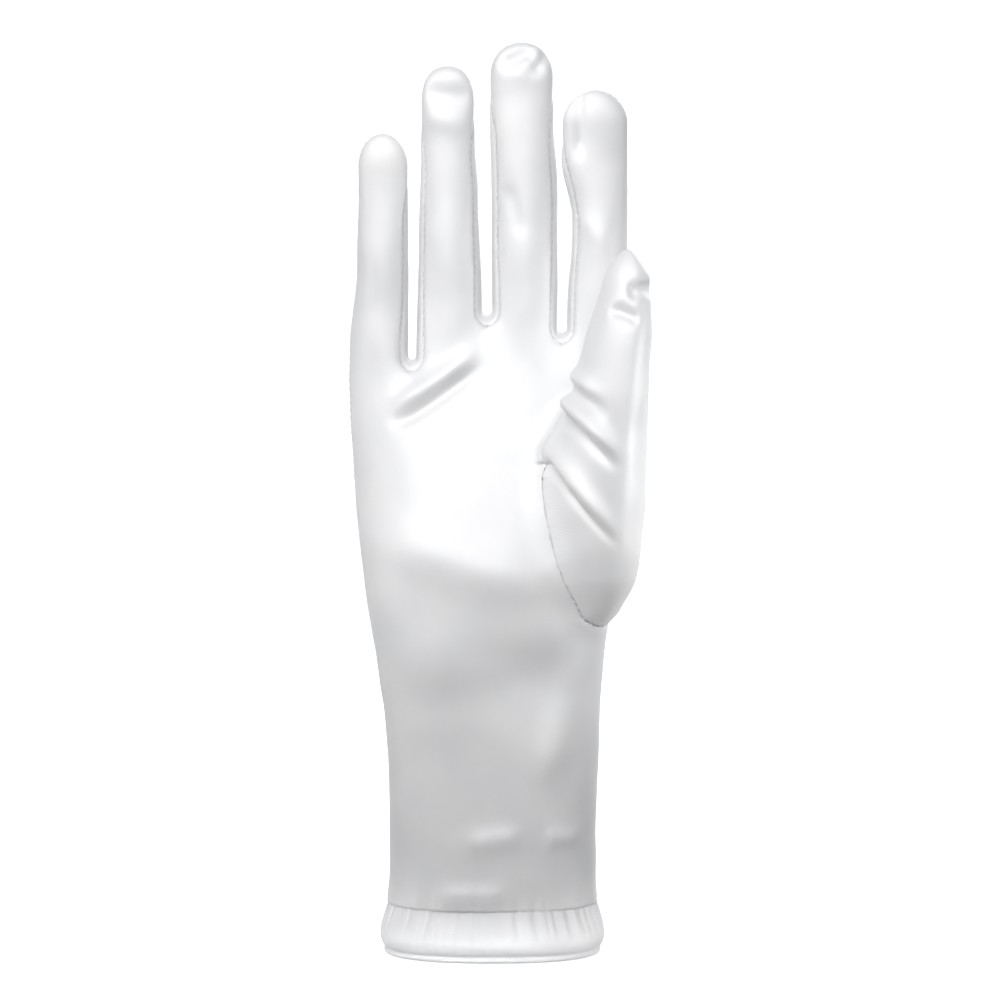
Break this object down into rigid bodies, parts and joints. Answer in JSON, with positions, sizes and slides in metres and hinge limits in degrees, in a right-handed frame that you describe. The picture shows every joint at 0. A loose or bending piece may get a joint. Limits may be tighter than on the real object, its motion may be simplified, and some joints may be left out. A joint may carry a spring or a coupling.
{
  "type": "wrist length dress glove, right hand, in its worn shape",
  "caption": "White satin wrist length dress glove for a right hand, held in its worn shape, with set-in thumb and gathered hem.",
  "frame": {"origin": "centre of the cuff opening, at the hem's lower edge", "axes": "+Z from the cuff towards the fingertips, palm facing -Y, thumb on the +X side"},
  "size_m": [0.0805, 0.0545, 0.245],
  "materials": {
    "satin": "satin"
  },
  "bodies": {
    "root": {"palm_panel": "satin", "back_panel": "satin", "fourchette_little_ring": "satin", "fourchette_ring_middle": "satin", "fourchette_middle_index": "satin", "thumb": "satin", "cuff_hem": "satin"}
  },
  "joints": []
}
